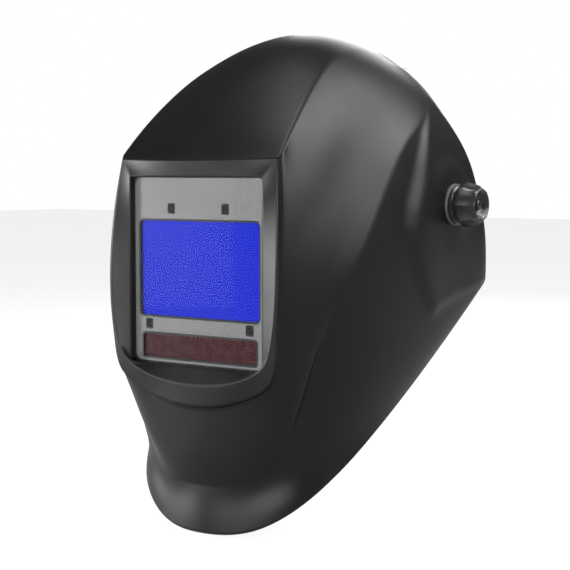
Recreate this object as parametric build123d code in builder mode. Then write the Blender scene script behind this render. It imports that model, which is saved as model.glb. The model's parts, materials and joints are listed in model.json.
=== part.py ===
from build123d import *
import os
from math import cos, radians, sin

# Auto-darkening welding helmet. Millimetres, +Z up, the wearer looks along -Y, +X is the wearer's left.
# The origin is the middle of the wearer's head, on the line through the two pivots.

os.makedirs("parts", exist_ok=True)

# Driving dimensions
WINDOW_Y = -154.0  # front of the viewing window, ahead of the pivots
WINDOW_Z = -44.0  # middle of the window, below the pivots
WALL = 2.6  # moulded shell
OPENING_X, OPENING_Z, OPENING_R = 56.0, 64.5, 5.0  # half width, half height, corner of the window
CARTRIDGE_X, CARTRIDGE_Z = 57.0, 66.5  # half of the 114 x 133 mm filter cartridge
FILTER_X, FILTER_TOP, FILTER_BOTTOM = 50.5, 34.0, -31.5  # dark glass, from the window's middle
SOLAR_TOP, SOLAR_BOTTOM, SOLAR_X = -44.5, -60.5, 48.5
SENSORS = [(-23, 42.5), (23, 42.5), (-43, -37.5), (43, -37.5)]
BOSS_IN, BOSS_OUT, BOSS_R, BOSS_BORE = 102.4, 114.5, 19.0, 7.05  # pivot boss in the shell's side
STUD_R = 4.0
BUSHING_R = 7.0
KNOB_R, KNOB_DEPTH = 16.5, 20.0
BAND_X, BAND_Y, BAND_T = 84.0, 105.0, 1.8  # outer half width and half length of the headband
HEAD_Y = 10.0  # middle of the headband, behind the pivots
FRONT_TILT = 7.0  # the front of the headband rises, degrees
REAR_TILT = 22.0  # the rear straps drop to the nape, degrees
PINION_R = 6.0

# The shell's outside, as level, nose, corner, flank, shoulder and hip of each horizontal outline.
# Levels are above the window's middle; nose is a Y and the others are (X, Y), all from the window's front.
CROWN = [
    (170.5, 150, (8, 155), (12, 166), (13, 180), (14, 200)),
    (165, 106, (24, 113), (28, 128), (29, 150), (30, 200)),
    (155, 83, (44, 94), (49, 112), (51, 140), (52, 200)),
    (140, 59, (57, 72), (64, 93), (68, 130), (69, 190)),
    (120, 36, (61, 45), (75, 86), (86, 135), (88, 190)),
    (100, 16, (63, 21), (80, 64), (97, 122), (100, 180)),
    (77, -3.5, (66.5, 1.5), (80, 38), (102.5, 108), (108, 170)),
]
FRAME = [
    (77, -3.5, (66.5, 1.5), (80, 38), (102.5, 108), (108, 170)),
    (50, -5, (70, -3), (87, 36), (107, 98), (112, 165)),
    (20, -7, (71, -7), (86, 24), (106.5, 86), (112.5, 165)),
    (-10, -8, (71, -8), (86, 22), (106, 86), (111.5, 165)),
    (-40, -8, (69, -8), (86, 26), (104.5, 90), (109, 165)),
    (-70, -8, (61, -7), (84, 28), (100.5, 86), (107, 165)),
    (-91, -8, (46, -4), (80, 30), (96, 70), (105, 165)),
]
CHIN = [
    (-91, -3.5, (46, 0), (80, 30), (96, 70), (102, 125)),
    (-115, -2, (42, 5), (76, 31), (91, 70), (99, 125)),
    (-135, 1, (40, 10), (71, 30), (86, 58), (97, 125)),
    (-147, 5, (38, 12), (66, 24), (80, 48), (93, 125)),
]
FLARE = [
    (-147, 5, (38, 12), (66, 24), (80, 48), (87, 80)),
    (-160, 3, (38, 11), (64, 23), (77, 44), (86, 80)),
    (-182, 1, (36, 9), (62, 24), (75, 42), (85, 80)),
]
BACK = 220.0  # the filled hood runs straight from its hips to here
# The shell's edge seen from the side, as (Y, Z) from the window: up the back, and from the rear corner to the chin
REAR_EDGE = [(207, -16), (207, 15), (201, 50), (184, 84), (176, 108), (180, 140), (184, 174)]
LOWER_EDGE = [(207, -16), (141, -69), (79, -115), (32, -151), (9, -175), (-12, -186)]


def write(piece, name):
    piece.part.label = name
    export_step(piece.part, f"parts/{name}.step")


def write_pair(piece, name):
    """The piece as built is the wearer's left; its mirror image is the right."""
    write(piece, name + "_left")
    with BuildPart() as twin:
        mirror(piece.part, about=Plane.YZ)
    write(twin, name + "_right")


def behind_window(depth):
    """A plane across the window, depth behind its front; its normal faces forward."""
    return Plane(origin=(0, WINDOW_Y + depth, WINDOW_Z), x_dir=(1, 0, 0), z_dir=(0, -1, 0))


def across(x):
    """A plane across the pivot line at x; its X runs backward and its Y runs up."""
    return Plane(origin=(x, 0, 0), x_dir=(0, 1, 0), z_dir=(1, 0, 0))


def tilted(angle, height=0.0):
    """A plane along the headband, raised at the front by angle, height along its own normal."""
    lean = radians(angle)
    plane = Plane(origin=(0, 0, 0), x_dir=(1, 0, 0), z_dir=(0, sin(lean), cos(lean)))
    return plane.offset(height)


# ---- Shell ----


def section(level, nose, corner, flank, shoulder, hip, inset=0.0, drop=0.0):
    """One horizontal outline of the hood, moved in by inset and down by drop."""
    right = [
        (corner[0] - inset, WINDOW_Y + corner[1] + inset),
        (flank[0] - inset, WINDOW_Y + flank[1] + inset / 2),
        (shoulder[0] - inset, WINDOW_Y + shoulder[1]),
        (hip[0] - inset, WINDOW_Y + hip[1]),
    ]
    left = [(-x, y) for x, y in reversed(right)]
    back_right = (hip[0] - inset, WINDOW_Y + BACK)
    back_left = (-back_right[0], back_right[1])
    with BuildSketch(Plane.XY.offset(WINDOW_Z + level - drop)) as outline:
        with BuildLine():
            Spline(left[-1], (0, WINDOW_Y + nose + inset), right[0])
            Spline(*right)
            Polyline(right[-1], back_right, back_left, left[0])
            Spline(*left)
        make_face()
    return outline.sketch


def hood(inset=0.0, drop=0.0):
    """The hood's outside, filled, or its inside when moved in by the wall."""
    zones = []
    for zone in (CROWN, FRAME, CHIN, FLARE):
        lowered = drop if zone is CROWN else 0.0
        zones.append([section(*row, inset=inset, drop=lowered) for row in zone])
    with BuildPart() as solid:
        for sections in zones:
            loft(sections)
    return solid.part


def side_profile():
    """Everything ahead of the hood's edge, seen from the side."""
    rear = [(WINDOW_Y + y, WINDOW_Z + z) for y, z in REAR_EDGE]
    lower = [(WINDOW_Y + y, WINDOW_Z + z) for y, z in LOWER_EDGE]
    margin = 20.0
    ahead = WINDOW_Y - margin
    above = rear[-1][1] + margin
    with BuildSketch(Plane.YZ) as profile:
        with BuildLine():
            Spline(*lower)
            Spline(*rear)
            Polyline(rear[-1], (rear[-1][0], above), (ahead, above), (ahead, lower[-1][1]), lower[-1])
        make_face()
    return profile.sketch


LIP_BACK = -0.3  # the back of the lip round the window, where the cover lens rests
LENS_X, LENS_Z = CARTRIDGE_X + 0.5, CARTRIDGE_Z + 0.5
HOLDER_T = 3.0
HOLDER_X, HOLDER_Z = CARTRIDGE_X + 0.5 + HOLDER_T, CARTRIDGE_Z + 0.5 + HOLDER_T

inside = hood(WALL, WALL)
with BuildPart() as shell:
    add(hood())
    extrude(side_profile(), amount=150, both=True, mode=Mode.INTERSECT)
    add(inside, mode=Mode.SUBTRACT)
    # flat panel round the window, and the bevel that slopes in to it
    with BuildSketch(behind_window(LIP_BACK)):
        Rectangle(2 * LENS_X + 6, 2 * LENS_Z + 6)
    extrude(amount=3.4)
    with BuildSketch(behind_window(-12)):
        with Locations((0, 2)):
            RectangleRounded(2 * OPENING_X + 24, 2 * OPENING_Z + 24, OPENING_R)
    with BuildSketch(behind_window(-3)):
        RectangleRounded(2 * OPENING_X, 2 * OPENING_Z, OPENING_R)
    loft(mode=Mode.SUBTRACT)
    with BuildSketch(behind_window(20)):
        RectangleRounded(2 * OPENING_X, 2 * OPENING_Z, OPENING_R)
    extrude(amount=40, mode=Mode.SUBTRACT)
    # pocket behind the lip for the cover lens and the filter holder
    with BuildSketch(behind_window(25)):
        Rectangle(2 * HOLDER_X + 0.6, 2 * HOLDER_Z + 0.6)
    extrude(amount=25 - LIP_BACK, mode=Mode.SUBTRACT)
    # pivot bosses
    for side in (1, -1):
        with BuildSketch(across(side * BOSS_IN)):
            Circle(BOSS_R)
        extrude(amount=side * (BOSS_OUT - BOSS_IN))
        with BuildSketch(across(side * (BOSS_IN - 2))):
            Circle(BOSS_BORE)
        extrude(amount=side * (BOSS_OUT - BOSS_IN + 4), mode=Mode.SUBTRACT)
write(shell, "shell")

# ---- Viewing window ----

COVER_T = 1.0
COVER_BACK = LIP_BACK + COVER_T
with BuildPart() as front_cover_lens:
    with BuildSketch(behind_window(COVER_BACK)):
        RectangleRounded(2 * LENS_X, 2 * LENS_Z, 3)
    extrude(amount=COVER_T)
write(front_cover_lens, "front_cover_lens")

GASKET_T = 0.8
with BuildPart() as lens_gasket:
    with BuildSketch(behind_window(COVER_BACK + GASKET_T)):
        RectangleRounded(2 * CARTRIDGE_X, 2 * CARTRIDGE_Z, 3)
        RectangleRounded(2 * OPENING_X + 0.4, 2 * OPENING_Z + 0.4, 2, mode=Mode.SUBTRACT)
    extrude(amount=GASKET_T)
write(lens_gasket, "lens_gasket")

# Filter cartridge: a silver front plate with windows, then a black housing behind it
PLATE_FRONT = COVER_BACK + GASKET_T
PLATE_T = 1.6
HOUSING_FRONT = PLATE_FRONT + PLATE_T
HOUSING_T = 7.4
HOUSING_BACK = HOUSING_FRONT + HOUSING_T
SENSOR_X, SENSOR_Z = 5.5, 6.5
filter_middle = (0, (FILTER_TOP + FILTER_BOTTOM) / 2)
filter_size = (2 * FILTER_X, FILTER_TOP - FILTER_BOTTOM)
solar_middle = (0, (SOLAR_TOP + SOLAR_BOTTOM) / 2)
solar_size = (2 * SOLAR_X, SOLAR_TOP - SOLAR_BOTTOM)
GLASS_EDGE = 1.5  # how far the glass reaches under the plate

with BuildPart() as cartridge_front_plate:
    with BuildSketch(behind_window(HOUSING_FRONT)):
        RectangleRounded(2 * CARTRIDGE_X, 2 * CARTRIDGE_Z, 3)
        with Locations(filter_middle):
            RectangleRounded(*filter_size, 3, mode=Mode.SUBTRACT)
        with Locations(solar_middle):
            RectangleRounded(*solar_size, 2, mode=Mode.SUBTRACT)
        with Locations(*SENSORS):
            RectangleRounded(SENSOR_X, SENSOR_Z, 1, mode=Mode.SUBTRACT)
    extrude(amount=PLATE_T)
write(cartridge_front_plate, "cartridge_front_plate")

GLASS_T = 1.1
with BuildPart() as filter_glass:
    with BuildSketch(behind_window(HOUSING_FRONT + GLASS_T)):
        with Locations(filter_middle):
            RectangleRounded(filter_size[0] + 2 * GLASS_EDGE, filter_size[1] + 2 * GLASS_EDGE, 2)
    extrude(amount=GLASS_T)
write(filter_glass, "filter_glass")

LCD_T = 2.6
LCD_BACK = HOUSING_FRONT + GLASS_T + LCD_T
with BuildPart() as lcd_stack:
    with BuildSketch(behind_window(LCD_BACK)):
        with Locations(filter_middle):
            RectangleRounded(filter_size[0] + 2 * GLASS_EDGE, filter_size[1] + 2 * GLASS_EDGE, 2)
    extrude(amount=LCD_T)
write(lcd_stack, "lcd_stack")

with BuildPart() as rear_glass:
    with BuildSketch(behind_window(LCD_BACK + GLASS_T)):
        with Locations(filter_middle):
            RectangleRounded(filter_size[0] + 2 * GLASS_EDGE, filter_size[1] + 2 * GLASS_EDGE, 2)
    extrude(amount=GLASS_T)
write(rear_glass, "rear_glass")

SOLAR_T = 1.4
with BuildPart() as solar_cell:
    with BuildSketch(behind_window(HOUSING_FRONT + SOLAR_T)):
        with Locations(solar_middle):
            Rectangle(solar_size[0] + 2 * GLASS_EDGE, solar_size[1] + 2 * GLASS_EDGE)
    extrude(amount=SOLAR_T)
write(solar_cell, "solar_cell")

with BuildPart() as arc_sensors:
    with BuildSketch(behind_window(HOUSING_FRONT)):
        with Locations(*SENSORS):
            RectangleRounded(SENSOR_X - 0.1, SENSOR_Z - 0.1, 0.9)
    extrude(amount=PLATE_T - 0.3)
write(arc_sensors, "arc_sensors")

BOARD_FRONT = HOUSING_FRONT + 3.2
BOARD_T = 1.2
BOARD_MIDDLE, BOARD_SIZE = (0, -49.2), (106, 27)
with BuildPart() as circuit_board:
    with BuildSketch(behind_window(BOARD_FRONT + BOARD_T)):
        with Locations(BOARD_MIDDLE):
            Rectangle(*BOARD_SIZE)
    extrude(amount=BOARD_T)
    with BuildSketch(behind_window(BOARD_FRONT + BOARD_T)):
        with Locations((-30, -46), (0, -50), (24, -52)):
            Rectangle(9, 7)
    extrude(amount=-1.2)
write(circuit_board, "circuit_board")

# The housing holds the glass, the board and the solar cell; its lower rear carries the control block
BLOCK_BACK = HOUSING_BACK + 7.0
BLOCK_MIDDLE, BLOCK_SIZE = (0, -49.5), (108, 29)
TRAY_Z, TRAY_SIZE = -50.0, (24.8, 4.2)  # battery trays slide in from the sides of the block
TRAY_X_IN, TRAY_X_OUT = 28.6, 54.2
TRAY_DEPTH = HOUSING_BACK + 3.2
DIALS = {"shade": (-14, -49), "sensitivity": (14, -44), "delay": (14, -56.5)}
DIAL_BORE = 3.05
SWITCH = (0, -41)
BUTTON = (0, -56)
LAMP = (0, -49)
with BuildPart() as cartridge_rear_housing:
    with BuildSketch(behind_window(HOUSING_BACK)):
        RectangleRounded(2 * CARTRIDGE_X, 2 * CARTRIDGE_Z, 3)
    extrude(amount=HOUSING_T)
    with BuildSketch(behind_window(BLOCK_BACK)):
        with Locations(BLOCK_MIDDLE):
            RectangleRounded(*BLOCK_SIZE, 2)
    extrude(amount=BLOCK_BACK - HOUSING_BACK)
    # viewing hole, and pockets for the glass, the solar cell and the board
    with BuildSketch(behind_window(HOUSING_BACK + 1)):
        with Locations(filter_middle):
            RectangleRounded(filter_size[0] - 4, filter_size[1] - 4, 2)
    extrude(amount=HOUSING_T + 2, mode=Mode.SUBTRACT)
    with BuildSketch(behind_window(LCD_BACK + GLASS_T)):
        with Locations(filter_middle):
            RectangleRounded(filter_size[0] + 2 * GLASS_EDGE, filter_size[1] + 2 * GLASS_EDGE, 2)
    extrude(amount=LCD_T + 2 * GLASS_T, mode=Mode.SUBTRACT)
    with BuildSketch(behind_window(HOUSING_FRONT + SOLAR_T)):
        with Locations(solar_middle):
            Rectangle(solar_size[0] + 2 * GLASS_EDGE, solar_size[1] + 2 * GLASS_EDGE)
    extrude(amount=SOLAR_T, mode=Mode.SUBTRACT)
    with BuildSketch(behind_window(BOARD_FRONT + BOARD_T + 1.6)):
        with Locations(BOARD_MIDDLE):
            Rectangle(BOARD_SIZE[0] + 0.4, BOARD_SIZE[1] + 0.4)
    extrude(amount=BOARD_T + 1.6, mode=Mode.SUBTRACT)
    # dial shafts, switch slot, button and lamp holes, battery tray slots
    with BuildSketch(behind_window(BLOCK_BACK)):
        with Locations(*DIALS.values()):
            Circle(DIAL_BORE)
        with Locations(SWITCH):
            Rectangle(10.4, 3.4)
        with Locations(BUTTON):
            Circle(2.55)
        with Locations(LAMP):
            Circle(1.5)
    extrude(amount=6.0, mode=Mode.SUBTRACT)
    with BuildSketch(behind_window(BLOCK_BACK - 1.2)):
        with Locations(((TRAY_X_IN + TRAY_X_OUT) / 2 + 0.5, TRAY_Z), (-(TRAY_X_IN + TRAY_X_OUT) / 2 - 0.5, TRAY_Z)):
            Rectangle(TRAY_X_OUT - TRAY_X_IN + 1.8, TRAY_SIZE[0] + 0.8)
    extrude(amount=4.8, mode=Mode.SUBTRACT)
write(cartridge_rear_housing, "cartridge_rear_housing")

with BuildPart() as low_battery_lamp:
    with BuildSketch(behind_window(BLOCK_BACK)):
        with Locations(LAMP):
            Circle(1.5)
    extrude(amount=3)
    with BuildSketch(behind_window(BLOCK_BACK)):
        with Locations(LAMP):
            Circle(1.5)
    extrude(amount=-1.2, taper=35)
write(low_battery_lamp, "low_battery_lamp")

# Dials: a shaft in the block and a ribbed cap behind it with a pointer
DIAL_CAPS = {"shade": 9.0, "sensitivity": 5.2, "delay": 5.2}
for dial, place in DIALS.items():
    cap_r = DIAL_CAPS[dial]
    with BuildPart() as dial_knob:
        with BuildSketch(behind_window(BLOCK_BACK + 0.4)):
            with Locations(place):
                Circle(DIAL_BORE - 0.05)
        extrude(amount=5.0)
        with BuildSketch(behind_window(BLOCK_BACK + 0.4)):
            with Locations(place):
                Circle(cap_r)
                with PolarLocations(cap_r, 16):
                    Circle(0.5, mode=Mode.SUBTRACT)
        extrude(amount=-5.0)
        with BuildSketch(behind_window(BLOCK_BACK + 5.4)):
            with Locations((place[0], place[1] + cap_r / 2)):
                Rectangle(1.2, cap_r * 0.7)
        extrude(amount=-0.6)
    write(dial_knob, f"{dial}_dial")

with BuildPart() as grind_switch:
    with BuildSketch(behind_window(BLOCK_BACK)):
        with Locations((SWITCH[0] - 2.3, SWITCH[1])):
            Rectangle(5.4, 3.0)
    extrude(amount=3.0)
    with BuildSketch(behind_window(BLOCK_BACK)):
        with Locations((SWITCH[0] - 2.3, SWITCH[1])):
            Rectangle(3.2, 3.0)
    extrude(amount=-2.4)
write(grind_switch, "grind_switch")

with BuildPart() as test_button:
    with BuildSketch(behind_window(BLOCK_BACK + 1.8)):
        with Locations(BUTTON):
            Circle(2.5)
    extrude(amount=5.0)
    fillet(test_button.edges().filter_by(GeomType.CIRCLE).sort_by(Axis.Y)[-1], 0.5)
write(test_button, "test_button")

# Battery trays, each with a coin cell
CELL_R, CELL_T = 10.0, 1.6
cell_x = TRAY_X_OUT - 13.4
with BuildPart() as battery_tray:
    with BuildSketch(behind_window(BLOCK_BACK - 1.6)):
        with Locations(((TRAY_X_IN + TRAY_X_OUT) / 2, TRAY_Z)):
            Rectangle(TRAY_X_OUT - TRAY_X_IN, TRAY_SIZE[0])
    extrude(amount=TRAY_SIZE[1] - 0.2)
    with BuildSketch(behind_window(BLOCK_BACK - 1.6)):
        with Locations((cell_x, TRAY_Z)):
            Circle(CELL_R + 0.1)
    extrude(amount=CELL_T + 0.3, mode=Mode.SUBTRACT)
    with BuildSketch(behind_window(BLOCK_BACK - 0.6)):
        with Locations((TRAY_X_OUT + 1.1, TRAY_Z)):
            RectangleRounded(2.2, TRAY_SIZE[0] + 2, 0.8)
    extrude(amount=5.4)
write_pair(battery_tray, "battery_tray")

with BuildPart() as coin_cell:
    with BuildSketch(behind_window(BLOCK_BACK - 1.6)):
        with Locations((cell_x, TRAY_Z)):
            Circle(CELL_R)
    extrude(amount=CELL_T)
write_pair(coin_cell, "coin_cell")

with BuildPart() as inner_cover_lens:
    with BuildSketch(behind_window(HOUSING_BACK + 1.0)):
        with Locations(filter_middle):
            RectangleRounded(filter_size[0] + 3, filter_size[1] + 1.5, 3)
    extrude(amount=1.0)
write(inner_cover_lens, "inner_cover_lens")

# Holder: a frame round the cartridge, screwed to the shell's flat panel, with a wire loop across its back
HOLDER_BACK = HOUSING_BACK + 0.4
LOOP_R = 1.2
LOOP_BACK = HOLDER_BACK + 2.0
LOOP_PIVOT_Z = -28.0
with BuildPart() as filter_holder:
    with BuildSketch(behind_window(HOLDER_BACK)):
        RectangleRounded(2 * HOLDER_X, 2 * HOLDER_Z, 4)
        Rectangle(2 * CARTRIDGE_X + 0.6, 2 * CARTRIDGE_Z + 0.6, mode=Mode.SUBTRACT)
    extrude(amount=HOLDER_BACK - COVER_BACK)
    # ears that the wire loop turns in, and lugs for the screws
    for side in (1, -1):
        with BuildSketch(across(side * (HOLDER_X - HOLDER_T + 0.2))):
            with Locations((WINDOW_Y + LOOP_BACK, WINDOW_Z + LOOP_PIVOT_Z)):
                SlotOverall(9.0, 6.4, rotation=90)
        extrude(amount=side * (HOLDER_T - 0.2))
        with BuildSketch(across(side * (HOLDER_X - 8))):
            with Locations((WINDOW_Y + LOOP_BACK, WINDOW_Z + LOOP_PIVOT_Z)):
                Circle(LOOP_R + 0.05)
        extrude(amount=side * 12, mode=Mode.SUBTRACT)
write(filter_holder, "filter_holder")

LOOP_X = HOLDER_X - HOLDER_T - 1.6
LOOP_RISE = 64.0
with BuildPart() as retaining_loop:
    with BuildLine(Plane(origin=(0, WINDOW_Y + LOOP_BACK, WINDOW_Z), x_dir=(1, 0, 0), z_dir=(0, -1, 0))) as loop_path:
        FilletPolyline(
            (HOLDER_X - 0.2, LOOP_PIVOT_Z),
            (LOOP_X, LOOP_PIVOT_Z),
            (LOOP_X, LOOP_PIVOT_Z + LOOP_RISE),
            (-LOOP_X, LOOP_PIVOT_Z + LOOP_RISE),
            (-LOOP_X, LOOP_PIVOT_Z),
            (0.2 - HOLDER_X, LOOP_PIVOT_Z),
            radius=1.8,
        )
    with BuildSketch(Plane(origin=(HOLDER_X - 0.2, WINDOW_Y + LOOP_BACK, WINDOW_Z + LOOP_PIVOT_Z), z_dir=(-1, 0, 0))):
        Circle(LOOP_R)
    sweep(path=loop_path.line)
write(retaining_loop, "retaining_loop")

# ---- Pivots ----

WASHER_OUT = BOSS_OUT + 1.5
PLATE_IN, SIDE_PLATE_T = BAND_X + 2.0, 2.5
CARRIER_IN = PLATE_IN + SIDE_PLATE_T + 0.3
CARRIER_OUT = CARRIER_IN + 8.2
LIMITER_IN, LIMITER_T = CARRIER_OUT + 0.4, 2.4
FRICTION_IN, FRICTION_T = LIMITER_IN + LIMITER_T + 0.3, BOSS_IN - 0.3 - (LIMITER_IN + LIMITER_T + 0.3)
KNOB_IN = WASHER_OUT + 0.3
KNOB_OUT = KNOB_IN + KNOB_DEPTH
INSERT_R, INSERT_OUT = 5.6, KNOB_IN + 12.0
STUD_OUT = KNOB_IN + 11.0
LOBES = 8

with BuildPart() as outer_washer:
    with BuildSketch(across(BOSS_OUT)):
        Circle(15.0)
        Circle(BUSHING_R + 0.3, mode=Mode.SUBTRACT)
    extrude(amount=WASHER_OUT - BOSS_OUT)
write_pair(outer_washer, "outer_washer")

with BuildPart() as friction_washer:
    with BuildSketch(across(FRICTION_IN)):
        Circle(BOSS_R - 1)
        Circle(BUSHING_R, mode=Mode.SUBTRACT)
    extrude(amount=FRICTION_T)
write_pair(friction_washer, "friction_washer")

with BuildPart() as pivot_bushing:
    with BuildSketch(across(CARRIER_OUT)):
        Circle(BUSHING_R)
        Circle(STUD_R, mode=Mode.SUBTRACT)
    extrude(amount=WASHER_OUT - CARRIER_OUT)
write_pair(pivot_bushing, "pivot_bushing")

STUD_HEAD_R, STUD_HEAD_T = 6.5, 3.0
with BuildPart() as pivot_stud:
    with BuildSketch(across(CARRIER_IN)):
        RegularPolygon(STUD_HEAD_R, 6)
    extrude(amount=STUD_HEAD_T)
    with BuildSketch(across(CARRIER_IN)):
        Circle(STUD_R)
    extrude(amount=STUD_OUT - CARRIER_IN)
    chamfer(pivot_stud.edges().filter_by(GeomType.CIRCLE).sort_by(Axis.X)[-1], 0.6)
write_pair(pivot_stud, "pivot_stud")

# A clamping knob: scalloped grip, dished outer face with a raised middle, brass thread insert
with BuildPart() as outer_knob:
    with BuildSketch(across(KNOB_IN)):
        Circle(KNOB_R)
    extrude(amount=KNOB_DEPTH)
    with BuildSketch(across(KNOB_IN + 4)):
        with PolarLocations(KNOB_R + 3.2, LOBES):
            Circle(4.8)
    extrude(amount=KNOB_DEPTH, mode=Mode.SUBTRACT)
    with BuildSketch(across(KNOB_OUT)):
        Circle(10.5)
    extrude(amount=-5.5, taper=22, mode=Mode.SUBTRACT)
    with BuildSketch(across(KNOB_OUT - 6)):
        Circle(3.6)
    extrude(amount=4.5)
    with BuildSketch(across(KNOB_IN)):
        Circle(INSERT_R)
    extrude(amount=INSERT_OUT - KNOB_IN, mode=Mode.SUBTRACT)
write_pair(outer_knob, "outer_knob")

with BuildPart() as knob_insert:
    with BuildSketch(across(KNOB_IN)):
        Circle(INSERT_R)
        Circle(STUD_R + 0.05, mode=Mode.SUBTRACT)
    extrude(amount=INSERT_OUT - KNOB_IN)
write_pair(knob_insert, "knob_insert")

FLANGE_Z = 15.5  # half height of the carrier's sliding flange
with BuildPart() as pivot_carrier:
    with BuildSketch(across(CARRIER_IN)):
        RectangleRounded(30, 2 * FLANGE_Z, 2)
    extrude(amount=2.2)
    with BuildSketch(across(CARRIER_IN)):
        RectangleRounded(28, 24, 4)
    extrude(amount=CARRIER_OUT - CARRIER_IN - 2)
    with BuildSketch(across(CARRIER_IN)):
        Circle(12.5)
    extrude(amount=CARRIER_OUT - CARRIER_IN)
    with BuildSketch(across(CARRIER_IN)):
        RegularPolygon(STUD_HEAD_R + 0.05, 6)
    extrude(amount=STUD_HEAD_T, mode=Mode.SUBTRACT)
    with BuildSketch(across(CARRIER_IN)):
        Circle(STUD_R)
    extrude(amount=CARRIER_OUT - CARRIER_IN, mode=Mode.SUBTRACT)
write_pair(pivot_carrier, "pivot_carrier")

with BuildPart() as tilt_limiter:
    with BuildSketch(across(LIMITER_IN)):
        Circle(13.0)
        with Locations((-12.0, 0)):
            SlotOverall(18, 8)
        Circle(BUSHING_R + 0.05, mode=Mode.SUBTRACT)
    extrude(amount=LIMITER_T)
    with BuildSketch(across(LIMITER_IN)):
        with Locations((-19.0, 0)):
            Circle(1.6)
    extrude(amount=-3.0)
write_pair(tilt_limiter, "tilt_limiter")

RIVETS = [(-30, 0), (30, 0)]
RIVET_R = 2.0
CROWN_RIVET = (0, 25)
RAIL_Z = FLANGE_Z + 0.3
with BuildPart() as side_plate:
    with BuildSketch(across(PLATE_IN)):
        RectangleRounded(74, 26, 8)
        RectangleRounded(48, 2 * RAIL_Z + 7, 4)
        with Locations((0, 16)):
            RectangleRounded(26, 32, 6)
    extrude(amount=SIDE_PLATE_T)
    # rails that the carrier slides in
    for side in (1, -1):
        with BuildSketch(across(PLATE_IN)):
            with Locations((0, side * (RAIL_Z + 1.5))):
                Rectangle(48, 3.0)
        extrude(amount=SIDE_PLATE_T + 5.4)
        with BuildSketch(across(CARRIER_IN + 2.6)):
            with Locations((0, side * (RAIL_Z + 0.4))):
                Rectangle(48, 5.2)
        extrude(amount=2.4)
    # standoffs that reach in to the headband
    with BuildSketch(across(PLATE_IN)):
        with Locations(RIVETS[1]):
            Circle(5)
    extrude(amount=-(PLATE_IN - 83.2))
    with BuildSketch(across(PLATE_IN)):
        with Locations(RIVETS[0]):
            Circle(5)
    extrude(amount=-(PLATE_IN - 79.4))
    with BuildSketch(across(70)):
        with Locations(*RIVETS, CROWN_RIVET):
            Circle(RIVET_R)
    extrude(amount=30, mode=Mode.SUBTRACT)
write_pair(side_plate, "side_plate")

with BuildPart() as rivets:
    for side in (1, -1):
        for (y, z), inner in ((RIVETS[0], 73.5), (RIVETS[1], 76.5), (CROWN_RIVET, 82.6)):
            with BuildSketch(across(side * inner)):
                with Locations((y, z)):
                    Circle(RIVET_R)
            extrude(amount=side * (PLATE_IN + SIDE_PLATE_T - inner))
            with BuildSketch(across(side * (PLATE_IN + SIDE_PLATE_T))):
                with Locations((y, z)):
                    Circle(3.4)
            extrude(amount=side * 1.2, taper=25)
write(rivets, "headband_rivets")

# ---- Headband ----


def band(plane, half_x, half_y, thickness, region):
    """An elliptical strip of the band's plan, kept where the rectangle (x0, y0, x1, y1) covers it."""
    x0, y0, x1, y1 = region
    with BuildSketch(plane) as strip:
        with Locations((0, HEAD_Y)):
            Ellipse(half_x, half_y)
            Ellipse(half_x - thickness, half_y - thickness, mode=Mode.SUBTRACT)
        with Locations(((x0 + x1) / 2, (y0 + y1) / 2)):
            Rectangle(x1 - x0, y1 - y0, mode=Mode.INTERSECT)
    return strip.sketch


FAR = 140.0
BAND_HALF, BROW_HALF = 12.0, 18.0
with BuildPart() as headband_front:
    extrude(band(tilted(FRONT_TILT, -BAND_HALF), BAND_X, BAND_Y, BAND_T, (-FAR, -FAR, FAR, 38)), amount=2 * BAND_HALF)
    extrude(
        band(tilted(FRONT_TILT, 6 - BROW_HALF), BAND_X, BAND_Y, BAND_T, (-62, -FAR, 62, 0)),
        amount=2 * BROW_HALF,
    )
    with BuildSketch(Plane.XZ.offset(60)):
        with Locations((-36, 16), (-12, 18), (12, 18), (36, 16)):
            SlotOverall(18, 7)
    extrude(amount=60, mode=Mode.SUBTRACT)
    with BuildSketch(Plane.YZ):
        with Locations(*RIVETS):
            Circle(RIVET_R)
    extrude(amount=100, both=True, mode=Mode.SUBTRACT)
write(headband_front, "headband_front")

PAD_T = 5.0
PAD_GAP = 0.4
with BuildPart() as sweatband:
    pad_plan = band(
        tilted(FRONT_TILT, 6 - BROW_HALF + 1),
        BAND_X - BAND_T - PAD_GAP,
        BAND_Y - BAND_T - PAD_GAP,
        PAD_T,
        (-70, -FAR, 70, -20),
    )
    extrude(pad_plan, amount=2 * BROW_HALF - 2)
write(sweatband, "sweatband")

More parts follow.
